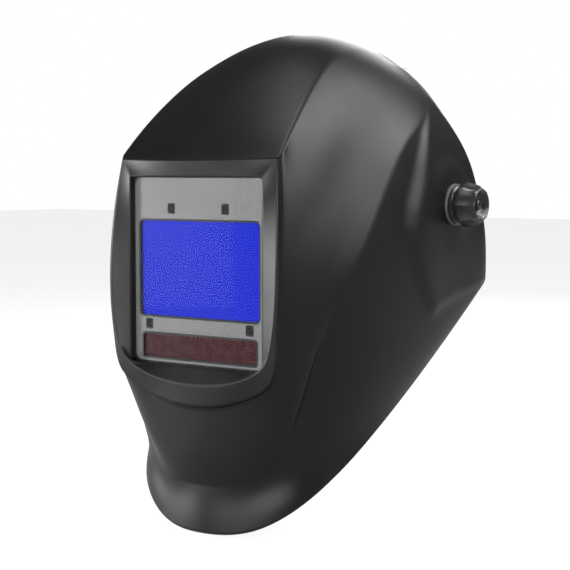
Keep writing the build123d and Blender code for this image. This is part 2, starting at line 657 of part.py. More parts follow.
CROWN_X, CROWN_TOP, CROWN_T, CROWN_W = BAND_X + 1.8, 100.0, 1.6, 22.0
LEG_BOTTOM, LEG_TOP = -7.0, 16.0  # the straight feet of the crown straps
CROWN_REACH = 30.0  # how far each half passes the middle
for side, name, lift in ((1, "left", 0.0), (-1, "right", -CROWN_T - 0.4)):
    with BuildPart() as crown_strap:
        with BuildSketch(Plane.XZ.offset(-CROWN_W / 2)):
            with Locations((0, LEG_TOP)):
                Ellipse(CROWN_X, CROWN_TOP - LEG_TOP + lift)
                Ellipse(CROWN_X - CROWN_T, CROWN_TOP - LEG_TOP + lift - CROWN_T, mode=Mode.SUBTRACT)
            with Locations((side * (FAR - CROWN_REACH) / 2, LEG_TOP + FAR / 2)):
                Rectangle(FAR + CROWN_REACH, FAR, mode=Mode.INTERSECT)
            with Locations((side * (CROWN_X - CROWN_T / 2), (LEG_BOTTOM + LEG_TOP) / 2)):
                Rectangle(CROWN_T, LEG_TOP - LEG_BOTTOM)
        extrude(amount=CROWN_W)
        with BuildSketch(Plane.YZ):
            with Locations(CROWN_RIVET):
                Circle(RIVET_R)
        extrude(amount=side * 100, mode=Mode.SUBTRACT)
        with BuildSketch(Plane.XY.offset(60)):
            with GridLocations(10, 0, 5, 1):
                Circle(2.2)
        extrude(amount=60, mode=Mode.SUBTRACT)
        with BuildSketch(Plane.XY.offset(40)):
            with Locations((side * 62, 0)):
                SlotOverall(16, 3.6)
        extrude(amount=80, mode=Mode.SUBTRACT)
    write(crown_strap, f"crown_strap_{name}")

with BuildPart() as crown_pin:
    with BuildSketch(Plane.XY.offset(CROWN_TOP - 5.0)):
        with Locations((-10, 0), (10, 0)):
            Circle(2.0)
    extrude(amount=5.0)
    with BuildSketch(Plane.XY.offset(CROWN_TOP)):
        SlotOverall(30, 9)
    extrude(amount=1.6)
write(crown_pin, "crown_strap_pin")

# ---- Ratchet at the nape ----

STRAP_HALF, STRAP_T = 9.0, 1.6
STRAP_X = BAND_X - BAND_T - 2.1
LAYER = STRAP_T + 0.5  # the right strap runs this much further out at the nape
PITCH = 2 * 3.14159 * PINION_R / 10
SLOT_HALF, RACK_ROOT, RACK_TIP = 27.0, 7.4, 5.0
NAPE = HEAD_Y + BAND_Y  # the straps' back, in the tilted plane
rear_frame = tilted(REAR_TILT)
nape_plane = Plane(origin=rear_frame.from_local_coords((0, NAPE, 0)), x_dir=(-1, 0, 0), z_dir=rear_frame.y_dir)

for side, name in ((1, "left"), (-1, "right")):
    strap_region = (-36, -4, FAR, FAR) if side > 0 else (-FAR, -4, 36, FAR)
    outward = 0.0 if side > 0 else LAYER
    strap_plan = band(tilted(REAR_TILT, -STRAP_HALF), STRAP_X + outward / 2, BAND_Y + outward, STRAP_T, strap_region)
    with BuildPart() as rear_strap:
        extrude(strap_plan, amount=2 * STRAP_HALF)
        with BuildSketch(nape_plane.offset(-20)):
            RectangleRounded(2 * SLOT_HALF + 6, 2 * RACK_ROOT, 2)
            # rack teeth along one edge of the slot
            with GridLocations(PITCH, 0, 14, 1):
                with Locations((0, side * (RACK_ROOT + RACK_TIP + 0.4) / 2)):
                    Rectangle(1.5, RACK_ROOT - RACK_TIP + 0.4, mode=Mode.SUBTRACT)
        extrude(amount=30, mode=Mode.SUBTRACT)
        with BuildSketch(Plane.YZ):
            with Locations(RIVETS[1]):
                Circle(RIVET_R)
        extrude(amount=side * 100, mode=Mode.SUBTRACT)
    write(rear_strap, f"rear_strap_{name}")

HOUSE_X, HOUSE_Z = 33.0, 17.0
COVER_INNER, COVER_T = -STRAP_T - 0.4, 2.4  # outer face of the inner cover, from the left strap's outer face
COVER_OUTER = LAYER + 0.5  # inner face of the outer cover
SCREW_X, SCREW_Z, SCREW_R = 28.0, 13.4, 1.3
SAG = BAND_Y * (1 - (1 - (SCREW_X / STRAP_X) ** 2) ** 0.5)  # how far the band curves forward at the screws


def house_layer(bottom, inner, outer):
    """A slice of the ratchet housing between two offsets from the left strap's outer face."""
    plane = tilted(REAR_TILT, bottom)
    return band(plane, STRAP_X + outer, BAND_Y + outer, outer - inner, (-HOUSE_X, 60, HOUSE_X, FAR))


with BuildPart() as ratchet_inner_cover:
    extrude(house_layer(-HOUSE_Z, COVER_INNER - COVER_T, COVER_INNER), amount=2 * HOUSE_Z)
    with BuildSketch(nape_plane.offset(-20)):
        Circle(3.05)
        with GridLocations(2 * SCREW_X, 2 * SCREW_Z, 2, 2):
            Circle(SCREW_R)
    extrude(amount=30, mode=Mode.SUBTRACT)
write(ratchet_inner_cover, "ratchet_inner_cover")

TURRET_R = 17.0
with BuildPart() as ratchet_outer_cover:
    extrude(house_layer(-HOUSE_Z, COVER_OUTER, COVER_OUTER + COVER_T), amount=2 * HOUSE_Z)
    # top and bottom walls that close on the inner cover
    wall_height = HOUSE_Z - STRAP_HALF - 0.6
    for bottom in (-HOUSE_Z, STRAP_HALF + 0.6):
        extrude(house_layer(bottom, COVER_INNER + 0.1, COVER_OUTER + COVER_T), amount=wall_height)
    # round turret under the knob
    with BuildSketch(nape_plane.offset(COVER_OUTER)):
        Circle(TURRET_R)
    extrude(amount=5.0)
    with BuildSketch(nape_plane.offset(COVER_OUTER + 1.6)):
        Circle(TURRET_R - 2.5)
    extrude(amount=6.0, mode=Mode.SUBTRACT)
    with BuildSketch(nape_plane.offset(-20)):
        with GridLocations(2 * SCREW_X, 2 * SCREW_Z, 2, 2):
            Circle(SCREW_R)
    extrude(amount=20 - SAG + 1.5, mode=Mode.SUBTRACT)
    with BuildSketch(nape_plane.offset(-20)):
        Circle(7.4)
    extrude(amount=20 + COVER_OUTER, mode=Mode.SUBTRACT)
    with BuildSketch(nape_plane):
        Circle(3.05)
    extrude(amount=20, mode=Mode.SUBTRACT)
write(ratchet_outer_cover, "ratchet_outer_cover")

HEAD_DROP, HEAD_R, HEAD_T = 3.5, 2.4, 1.4  # screw heads: top below the cover, radius, thickness
SCREW_LENGTH = 8.5
screw_head = COVER_INNER - COVER_T - SAG - HEAD_DROP
with BuildPart() as ratchet_screws:
    with BuildSketch(nape_plane.offset(screw_head)):
        with GridLocations(2 * SCREW_X, 2 * SCREW_Z, 2, 2):
            Circle(SCREW_R)
    extrude(amount=SCREW_LENGTH)
    with BuildSketch(nape_plane.offset(screw_head)):
        with GridLocations(2 * SCREW_X, 2 * SCREW_Z, 2, 2):
            Circle(HEAD_R)
    extrude(amount=HEAD_T)
write(ratchet_screws, "ratchet_screws")

PINION_IN, PINION_OUT = -1.8, 2.4
TURRET = COVER_OUTER + 1.6
SHAFT_END = 8.0  # how far the pinion's shaft reaches into the knob, from the turret's floor
with BuildPart() as ratchet_pinion:
    with BuildSketch(nape_plane.offset(PINION_IN)):
        Circle(4.7)
        with PolarLocations(3.4, 10, start_angle=90):
            Rectangle(7.0, 1.6)
    extrude(amount=PINION_OUT - PINION_IN)
    with BuildSketch(nape_plane.offset(-4.4)):
        Circle(3.0)
    extrude(amount=TURRET + 4.4 + SHAFT_END)
write(ratchet_pinion, "ratchet_pinion")

with BuildPart() as pawl_spring:
    with BuildSketch(nape_plane.offset(TURRET + 0.2)):
        Circle(14.3)
        Circle(12.9, mode=Mode.SUBTRACT)
    extrude(amount=1.6)
    with BuildSketch(nape_plane.offset(TURRET + 0.2)):
        with PolarLocations(12.4, 3):
            Rectangle(1.6, 3.0)
    extrude(amount=1.6)
write(pawl_spring, "pawl_spring")

NAPE_KNOB_R, NAPE_KNOB_IN, NAPE_KNOB_T = 22.0, TURRET + 4.0, 13.0
with BuildPart() as ratchet_knob:
    with BuildSketch(nape_plane.offset(NAPE_KNOB_IN)):
        Circle(NAPE_KNOB_R)
        with PolarLocations(NAPE_KNOB_R + 1.6, 18):
            Circle(2.6, mode=Mode.SUBTRACT)
    extrude(amount=NAPE_KNOB_T)
    fillet(ratchet_knob.faces().sort_by(Axis.Y)[-1].edges(), 1.0)
    with BuildSketch(nape_plane.offset(TURRET + 2.2)):
        Circle(10.8)
    extrude(amount=NAPE_KNOB_IN - TURRET - 2.2)
    with BuildSketch(nape_plane.offset(TURRET)):
        Circle(3.0)
    extrude(amount=SHAFT_END, mode=Mode.SUBTRACT)
write(ratchet_knob, "ratchet_knob")

NECK_T = 6.0
NECK_OUT = COVER_INNER - COVER_T - 4.1  # clear of the screw heads
with BuildPart() as neck_pad:
    neck_plan = band(
        tilted(REAR_TILT, -HOUSE_Z - 1),
        STRAP_X + NECK_OUT,
        BAND_Y + NECK_OUT,
        NECK_T,
        (-HOUSE_X - 6, 60, HOUSE_X + 6, FAR),
    )
    extrude(neck_plan, amount=2 * HOUSE_Z + 2)
write(neck_pad, "neck_pad")
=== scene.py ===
"""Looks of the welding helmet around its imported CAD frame. Metres; shell outlines are in millimetres."""

import json
from math import cos, pi, radians, sin

import bmesh
import bpy
import numpy as np
from mathutils import Matrix, Vector


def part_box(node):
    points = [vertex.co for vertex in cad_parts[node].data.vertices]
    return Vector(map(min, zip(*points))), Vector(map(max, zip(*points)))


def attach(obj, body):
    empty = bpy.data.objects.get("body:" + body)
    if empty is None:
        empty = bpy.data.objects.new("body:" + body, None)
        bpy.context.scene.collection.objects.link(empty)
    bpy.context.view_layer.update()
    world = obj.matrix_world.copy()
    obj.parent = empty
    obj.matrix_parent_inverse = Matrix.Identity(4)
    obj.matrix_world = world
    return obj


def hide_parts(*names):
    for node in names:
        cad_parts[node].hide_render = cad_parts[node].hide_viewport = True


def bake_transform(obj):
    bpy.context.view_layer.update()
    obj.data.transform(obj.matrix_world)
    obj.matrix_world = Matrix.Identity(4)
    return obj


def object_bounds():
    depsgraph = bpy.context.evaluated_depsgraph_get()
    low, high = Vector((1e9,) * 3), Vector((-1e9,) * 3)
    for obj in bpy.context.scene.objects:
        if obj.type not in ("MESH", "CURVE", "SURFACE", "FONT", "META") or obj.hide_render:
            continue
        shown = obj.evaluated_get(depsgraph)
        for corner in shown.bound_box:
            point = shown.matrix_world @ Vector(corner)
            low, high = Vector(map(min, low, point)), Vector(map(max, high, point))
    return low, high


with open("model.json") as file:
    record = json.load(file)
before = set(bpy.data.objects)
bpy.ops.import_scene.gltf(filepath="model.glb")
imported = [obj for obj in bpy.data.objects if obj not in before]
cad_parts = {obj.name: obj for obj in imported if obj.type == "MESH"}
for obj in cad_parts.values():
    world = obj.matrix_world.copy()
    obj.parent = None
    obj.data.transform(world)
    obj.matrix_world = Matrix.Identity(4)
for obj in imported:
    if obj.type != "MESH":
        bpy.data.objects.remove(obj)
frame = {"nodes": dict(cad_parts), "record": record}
cad_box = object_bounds()

MM = 0.001
SIDES = ((1, "left"), (-1, "right"))

# The window's middle on its front, which the shell's outlines are measured from
LENS_LOW, LENS_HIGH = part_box("front_cover_lens")
LIP_BACK = -0.3  # from the window's front to the back of the lip, where the cover lens rests
WINDOW = Vector((0, LENS_LOW.y - LIP_BACK * MM, (LENS_LOW.z + LENS_HIGH.z) / 2))

# ---- Camera, stage and lights ----

CAMERA_PLACE = WINDOW + Vector((0.5854, -0.7466, 0.0677))
AZIMUTH, ELEVATION = radians(34.495), radians(4.622)
LENS_LENGTH = 88.65


def make_camera():
    across = Vector((cos(AZIMUTH), sin(AZIMUTH), 0))
    back = Vector((sin(AZIMUTH) * cos(ELEVATION), -cos(AZIMUTH) * cos(ELEVATION), sin(ELEVATION)))
    up = back.cross(across)
    camera = bpy.data.objects.new("camera", bpy.data.cameras.new("camera"))
    camera.data.lens = LENS_LENGTH
    turn = Matrix((across, up, back)).transposed().to_4x4()
    camera.matrix_world = Matrix.Translation(CAMERA_PLACE) @ turn
    bpy.context.scene.collection.objects.link(camera)
    bpy.context.scene.camera = camera


# Soft lights: name, place, what it faces, width and height, and power in watts
LIGHTS = [
    ("right_box", (1.3, 0.05, 0.72), (0, 0, 0.05), (0.8, 0.9), 33),
    ("rear_box", (0.85, 0.62, 1.2), (0, 0.05, 0.05), (0.8, 0.8), 34),
    ("overhead", (-0.1, -0.2, 1.6), (0, -0.05, 0.05), (0.8, 0.7), 20),
    ("left_card", (-1.15, -0.75, -0.02), (0, -0.15, -0.05), (0.7, 0.4), 28),
    ("inside_fill", (-0.6, 1.4, 0.62), (0, 0, -0.02), (0.7, 0.7), 16),
    ("lens_card", (-1.04, -1.4, -0.06), (-0.2, -0.3, -0.05), (0.23, 0.34), 0.3),  # mirrored in the window
    ("front_card", (0.05, -1.5, 0.12), (0, -0.15, -0.08), (0.9, 0.45), 34),
]
BACKDROP, ROUND_LIGHT = 1.0, 0.1  # brightness of the backdrop, and of the light from all round
FLOOR_HALF, FLOOR_DROP = 6.0, 0.001  # half the floor's width, and how far it lies under the part
FLOOR_GLOW = 0.86


def area_light(name, place, target, size, power):
    data = bpy.data.lights.new(name, "AREA")
    data.shape = "RECTANGLE"
    data.size, data.size_y = size
    data.energy = power
    light = bpy.data.objects.new(name, data)
    light.location = place
    light.rotation_euler = (Vector(target) - Vector(place)).to_track_quat("-Z", "Y").to_euler()
    bpy.context.scene.collection.objects.link(light)


def make_lights():
    world = bpy.data.worlds.new("studio")
    bpy.context.scene.world = world
    bpy.context.scene.view_settings.view_transform = "Standard"
    world.use_nodes = True
    tree = world.node_tree
    sky = tree.nodes["Background"]
    sky.inputs["Color"].default_value = (1, 1, 1, 1)
    ray = tree.nodes.new("ShaderNodeLightPath")
    strength = spread(tree, ray.outputs["Is Camera Ray"], ROUND_LIGHT, BACKDROP, 0.0, 1.0)
    link(tree, strength, sky.inputs["Strength"])
    for light in LIGHTS:
        area_light(*light)


def make_floor():
    low, _ = cad_box
    mesh = bpy.data.meshes.new("floor")
    corners = ((-1, -1), (1, -1), (1, 1), (-1, 1))
    points = [(x * FLOOR_HALF, y * FLOOR_HALF, low.z - FLOOR_DROP) for x, y in corners]
    mesh.from_pydata(points, [], [(0, 1, 2, 3)])
    floor = bpy.data.objects.new("floor", mesh)
    bpy.context.scene.collection.objects.link(floor)
    paper = plastic("floor_paper", (0.07, 0.07, 0.07), 0.9, grain=400, depth=0.01, mottle=0.01)
    glow = paper.node_tree.nodes["Principled BSDF"].inputs
    glow["Emission Color"].default_value = (1, 1, 1, 1)
    glow["Emission Strength"].default_value = FLOOR_GLOW
    floor.data.materials.append(paper)


# ---- Materials ----


def new_material(name):
    material = bpy.data.materials.new(name)
    material.use_nodes = True
    tree = material.node_tree
    shader = tree.nodes["Principled BSDF"]
    return material, tree, shader


def link(tree, source, target):
    tree.links.new(source, target)


def noise(tree, scale, detail=3.0, squeeze=(1, 1, 1)):
    """Noise in the object's own coordinates; a squeeze stretches it into fibres or brush lines."""
    place = tree.nodes.new("ShaderNodeTexCoord")
    scaled = tree.nodes.new("ShaderNodeMapping")
    scaled.inputs["Scale"].default_value = squeeze
    link(tree, place.outputs["Object"], scaled.inputs["Vector"])
    texture = tree.nodes.new("ShaderNodeTexNoise")
    texture.inputs["Scale"].default_value = scale
    texture.inputs["Detail"].default_value = detail
    link(tree, scaled.outputs["Vector"], texture.inputs["Vector"])
    return texture.outputs["Fac"]


def spread(tree, value, low, high, start=0.3, end=0.7):
    """A value between start and end, spread over low to high."""
    mapped = tree.nodes.new("ShaderNodeMapRange")
    mapped.inputs["From Min"].default_value = start
    mapped.inputs["From Max"].default_value = end
    mapped.inputs["To Min"].default_value = low
    mapped.inputs["To Max"].default_value = high
    link(tree, value, mapped.inputs["Value"])
    return mapped.outputs["Result"]


def mix_colour(tree, factor, first, second):
    """first where factor is 0 and second where it is 1; either is a colour or a socket."""
    mixer = tree.nodes.new("ShaderNodeMix")
    mixer.data_type = "RGBA"
    link(tree, factor, mixer.inputs["Factor"])
    for socket, colour in ((mixer.inputs[6], first), (mixer.inputs[7], second)):
        if isinstance(colour, tuple):
            socket.default_value = (*colour, 1)
        else:
            link(tree, colour, socket)
    return mixer.outputs[2]


def raise_bump(tree, shader, height, depth, distance=0.0002):
    bump = tree.nodes.new("ShaderNodeBump")
    bump.inputs["Strength"].default_value = depth
    bump.inputs["Distance"].default_value = distance
    link(tree, height, bump.inputs["Height"])
    link(tree, bump.outputs["Normal"], shader.inputs["Normal"])


def painted_edge_highlight(tree, colour, edge_highlight_colour):
    """Paints a highlight along the outward edges: the colour is lighter there."""
    shape = tree.nodes.new("ShaderNodeNewGeometry")
    highlight_share = spread(tree, shape.outputs["Pointiness"], 0.0, 0.6, 0.53, 0.6)
    return mix_colour(tree, highlight_share, colour, edge_highlight_colour)


def plastic(name, colour, rough, grain=900, depth=0.12, mottle=0.12, shine=0.5):
    """Moulded plastic: fine grain in its height, slow change in its shade and gloss, and a painted
    highlight that makes its edges paler.
    """
    material, tree, shader = new_material(name)
    slow = noise(tree, 22, 4)
    dark = tuple(c * (1 - mottle) for c in colour)
    pale = tuple(c * (1 + mottle) for c in colour)
    shade = mix_colour(tree, slow, dark, pale)
    # painted highlight: the colour is made lighter along the outward edges
    edge_highlight_colour = tuple(min(1.0, c * 1.6 + 0.01) for c in colour)
    link(tree, painted_edge_highlight(tree, shade, edge_highlight_colour), shader.inputs["Base Color"])
    link(tree, spread(tree, slow, rough - 0.04, rough + 0.04), shader.inputs["Roughness"])
    raise_bump(tree, shader, noise(tree, grain, 2), depth)
    shader.inputs["Specular IOR Level"].default_value = shine
    return material


def metal(name, colour, rough, brushed=(1, 1, 1)):
    """Bare or plated metal with brush or drawing lines and slightly uneven gloss."""
    material, tree, shader = new_material(name)
    shader.inputs["Metallic"].default_value = 1.0
    lines = noise(tree, 600, 3, brushed)
    dark = tuple(c * 0.82 for c in colour)
    link(tree, mix_colour(tree, lines, dark, colour), shader.inputs["Base Color"])
    link(tree, spread(tree, noise(tree, 60), rough - 0.06, rough + 0.08), shader.inputs["Roughness"])
    raise_bump(tree, shader, lines, 0.1, 0.0001)
    return material


def glossy_panel(name, colour, tint, rough=0.08, coat=0.5, shine=0.5):
    """A coated glass face: its colour drifts a little, and a clear coat gives the gloss."""
    material, tree, shader = new_material(name)
    shader.inputs["Coat Weight"].default_value = coat
    shader.inputs["Coat Roughness"].default_value = 0.03
    shader.inputs["Specular IOR Level"].default_value = shine
    slow = noise(tree, 12, 2)
    link(tree, mix_colour(tree, slow, colour, tint), shader.inputs["Base Color"])
    link(tree, spread(tree, noise(tree, 90), rough, rough + 0.05), shader.inputs["Roughness"])
    return material


def maths(tree, operation, *values):
    node = tree.nodes.new("ShaderNodeMath")
    node.operation = operation
    for socket, value in zip(node.inputs, values):
        if isinstance(value, (int, float)):
            socket.default_value = value
        else:
            link(tree, value, socket)
    return node.outputs[0]


def beyond_box(tree, across, up, middle, half, radius):
    """How far a point of the window lies outside a rounded rectangle, in metres; less than 0 inside."""
    reach = []
    for along, centre, extent in ((across, middle[0], half[0]), (up, middle[1], half[1])):
        off = maths(tree, "ABSOLUTE", maths(tree, "SUBTRACT", along, centre))
        reach.append(maths(tree, "MAXIMUM", maths(tree, "SUBTRACT", off, extent - radius), 0.0))
    square = maths(tree, "ADD", *(maths(tree, "MULTIPLY", r, r) for r in reach))
    return maths(tree, "SUBTRACT", maths(tree, "SQRT", square), radius)


SENSORS = ((-23, 42.5), (23, 42.5), (-43, -37.5), (43, -37.5))  # from the window's middle
SENSOR_HALF = (3.3 * MM, 3.8 * MM)  # half the black print round each sensor


def silver_plate():
    """The cartridge's front: grained silver paint with black print round it, its windows and sensors."""
    material, tree, shader = new_material("silver_plate")
    place = tree.nodes.new("ShaderNodeTexCoord")
    axes = tree.nodes.new("ShaderNodeSeparateXYZ")
    link(tree, place.outputs["Object"], axes.inputs["Vector"])
    across, up = axes.outputs["X"], axes.outputs["Z"]
    line = 1.5 * MM
    face = beyond_box(tree, across, up, (WINDOW.x, WINDOW.z), (55.2 * MM, 63.4 * MM), 5.5 * MM)
    ink = maths(tree, "GREATER_THAN", face, 0.0)
    inked = [((WINDOW.x + x * MM, WINDOW.z + z * MM), SENSOR_HALF, 1.2 * MM) for x, z in SENSORS]
    for node, radius in (("filter_glass", 3.0), ("solar_cell", 2.0)):
        low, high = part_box(node)
        under_edge = 1.5 * MM  # the glass reaches this far under the plate
        middle = ((low.x + high.x) / 2, (low.z + high.z) / 2)
        half = ((high.x - low.x) / 2 - under_edge + line, (high.z - low.z) / 2 - under_edge + line)
        inked.append((middle, half, radius * MM + line))
    for middle, half, radius in inked:
        gap = beyond_box(tree, across, up, middle, half, radius)
        ink = maths(tree, "MAXIMUM", ink, maths(tree, "LESS_THAN", gap, 0.0))
    speckle = spread(tree, noise(tree, 1500, 2), 0.0, 1.0, 0.35, 0.65)
    drift = noise(tree, 9, 2)
    silver = mix_colour(tree, speckle, (0.064, 0.062, 0.062), (0.112, 0.109, 0.109))
    silver = mix_colour(tree, spread(tree, drift, 0.0, 0.25), silver, (0.13, 0.127, 0.127))
    link(tree, mix_colour(tree, ink, silver, (0.008, 0.008, 0.009)), shader.inputs["Base Color"])
    link(tree, spread(tree, ink, 0.42, 0.3, 0.0, 1.0), shader.inputs["Roughness"])
    link(tree, spread(tree, ink, 0.35, 0.0, 0.0, 1.0), shader.inputs["Metallic"])
    shader.inputs["Specular IOR Level"].default_value = 0.2
    raise_bump(tree, shader, noise(tree, 1500, 2), 0.25, 0.00005)
    return material


def solar_cells():
    """Maroon amorphous silicon: narrow upright cells with finer scribed lines."""
    material, tree, shader = new_material("solar_maroon")
    shader.inputs["Coat Weight"].default_value = 0.05
    shader.inputs["Coat Roughness"].default_value = 0.04
    shader.inputs["Specular IOR Level"].default_value = 0.08
    place = tree.nodes.new("ShaderNodeTexCoord")
    axes = tree.nodes.new("ShaderNodeSeparateXYZ")
    link(tree, place.outputs["Object"], axes.inputs["Vector"])
    cell = 12.1 * MM  # width of one cell
    phase = maths(tree, "FRACT", maths(tree, "DIVIDE", maths(tree, "ADD", axes.outputs["X"], 1.0), cell))
    scribe = maths(tree, "LESS_THAN", phase, 0.05)
    drift = mix_colour(tree, noise(tree, 30, 3), (0.018, 0.002, 0.004), (0.027, 0.004, 0.006))
    link(tree, mix_colour(tree, scribe, drift, (0.03, 0.008, 0.011)), shader.inputs["Base Color"])
    link(tree, spread(tree, noise(tree, 200), 0.22, 0.32), shader.inputs["Roughness"])
    return material


def clear_sheet(name):
    """A thin clear sheet: it lets light through and mirrors more at a shallow angle."""
    material, tree, shader = new_material(name)
    haze = spread(tree, noise(tree, 35, 3), 0.015, 0.05)
    gloss = tree.nodes.new("ShaderNodeBsdfGlossy")
    link(tree, haze, gloss.inputs["Roughness"])
    through = tree.nodes.new("ShaderNodeBsdfTransparent")
    through.inputs["Color"].default_value = (0.97, 0.98, 0.98, 1)
    fresnel = tree.nodes.new("ShaderNodeFresnel")
    fresnel.inputs["IOR"].default_value = 1.13
    blend = tree.nodes.new("ShaderNodeMixShader")
    link(tree, fresnel.outputs["Fac"], blend.inputs["Fac"])
    link(tree, through.outputs["BSDF"], blend.inputs[1])
    link(tree, gloss.outputs["BSDF"], blend.inputs[2])
    link(tree, blend.outputs["Shader"], tree.nodes["Material Output"].inputs["Surface"])
    tree.nodes.remove(shader)
    return material


def knit_fabric(name, colour):
    """Brushed knit: columns of loops, fuzz on top and a soft sheen."""
    material, tree, shader = new_material(name)
    shader.inputs["Sheen Weight"].default_value = 0.6
    shader.inputs["Sheen Roughness"].default_value = 0.5
    shader.inputs["Roughness"].default_value = 0.9
    place = tree.nodes.new("ShaderNodeTexCoord")
    loops = tree.nodes.new("ShaderNodeTexVoronoi")
    loops.inputs["Scale"].default_value = 900
    link(tree, place.outputs["Object"], loops.inputs["Vector"])
    fuzz = noise(tree, 1600, 4)
    height = maths(tree, "ADD", loops.outputs["Distance"], maths(tree, "MULTIPLY", fuzz, 0.6))
    dark = tuple(c * 0.45 for c in colour)
    shade = mix_colour(tree, spread(tree, height, 0.0, 1.0, 0.2, 1.0), dark, colour)
    slow = noise(tree, 40, 3)
    link(tree, mix_colour(tree, spread(tree, slow, 0.0, 0.35), shade, dark), shader.inputs["Base Color"])
    raise_bump(tree, shader, height, 0.8, 0.0004)
    return material


def make_finishes():
    """One material for each of the record's slots."""
    return {
        "shell_black": plastic(
            "shell_black", (0.003, 0.003, 0.0032), 0.4, grain=1400, depth=0.04, mottle=0.08, shine=0.12
        ),
        "clear_lens": clear_sheet("clear_lens"),
        "gasket_rubber": plastic("gasket_rubber", (0.02, 0.02, 0.02), 0.85, grain=700, depth=0.5),
        "silver_plate": silver_plate(),
        "filter_blue": glossy_panel(
            "filter_blue", (0.003, 0.008, 0.235), (0.004, 0.011, 0.28), coat=0.05, shine=0.12
        ),
        "lcd_dark": glossy_panel("lcd_dark", (0.012, 0.016, 0.03), (0.02, 0.024, 0.045)),
        "solar_maroon": solar_cells(),
        "sensor_black": glossy_panel(
            "sensor_black", (0.004, 0.004, 0.005), (0.008, 0.008, 0.009), coat=0.05, shine=0.15
        ),
        "board_green": plastic("board_green", (0.02, 0.16, 0.07), 0.4, grain=500, depth=0.2),
        "housing_black": plastic("housing_black", (0.02, 0.02, 0.021), 0.55, grain=1100, depth=0.3),
        "lamp_red": glossy_panel("lamp_red", (0.5, 0.012, 0.012), (0.62, 0.02, 0.02)),
        "dial_black": plastic("dial_black", (0.03, 0.03, 0.031), 0.42, grain=900, depth=0.15),
        "button_grey": plastic("button_grey", (0.22, 0.22, 0.23), 0.45),
        "switch_grey": plastic("switch_grey", (0.3, 0.3, 0.31), 0.45),
        "cell_steel": metal("cell_steel", (0.66, 0.66, 0.65), 0.25, (1, 8, 1)),
        "wire_steel": metal("wire_steel", (0.58, 0.58, 0.58), 0.3, (8, 1, 8)),
        "washer_nylon": plastic("washer_nylon", (0.04, 0.04, 0.041), 0.5),
        "bushing_nylon": plastic("bushing_nylon", (0.7, 0.68, 0.62), 0.45),
        "stud_steel": metal("stud_steel", (0.6, 0.6, 0.61), 0.3, (1, 10, 10)),
        "knob_black": plastic(
            "knob_black", (0.008, 0.008, 0.0085), 0.33, grain=1000, depth=0.06, shine=0.22
        ),
        "insert_brass": metal("insert_brass", (0.74, 0.52, 0.2), 0.28, (10, 1, 1)),
        "carrier_black": plastic("carrier_black", (0.028, 0.028, 0.029), 0.45),
        "limiter_grey": plastic("limiter_grey", (0.18, 0.18, 0.19), 0.48),
        "band_black": plastic("band_black", (0.034, 0.034, 0.036), 0.42, grain=800, depth=0.15),
        "rivet_steel": metal("rivet_steel", (0.6, 0.6, 0.61), 0.3),
        "pad_fabric": knit_fabric("pad_fabric", (0.06, 0.06, 0.066)),
        "ratchet_black": plastic("ratchet_black", (0.024, 0.024, 0.026), 0.4, grain=900, depth=0.15),
        "pinion_white": plastic("pinion_white", (0.66, 0.65, 0.61), 0.45),
    }


# ---- Mesh helpers ----


def new_piece(name, points, faces, slot):
    mesh = bpy.data.meshes.new(name)
    mesh.from_pydata([tuple(p) for p in points], [], faces)
    mesh.validate()
    piece = bpy.data.objects.new(name, mesh)
    bpy.context.scene.collection.objects.link(piece)
    clean_mesh(mesh)
    mesh.shade_smooth()
    mesh.materials.append(FINISHES[slot])
    return piece


def clean_mesh(mesh, merge=0.0):
    """Joins points closer than merge and turns every face outward."""
    work = bmesh.new()
    work.from_mesh(mesh)
    if merge:
        bmesh.ops.remove_doubles(work, verts=work.verts, dist=merge)
    bmesh.ops.recalc_face_normals(work, faces=work.faces)
    work.to_mesh(mesh)
    work.free()


def wrapped_faces(rows, columns):
    """Quads over a grid whose rows and columns both wrap round."""
    faces = []
    for i in range(rows):
        below = ((i + 1) % rows) * columns
        for j in range(columns):
            k = (j + 1) % columns
            faces.append((i * columns + j, i * columns + k, below + k, below + j))
    return faces


def apply_modifiers(piece):
    bpy.context.view_layer.update()
    finished = bpy.data.meshes.new_from_object(piece.evaluated_get(bpy.context.evaluated_depsgraph_get()))
    piece.modifiers.clear()
    piece.data = finished


# ---- Shell ----

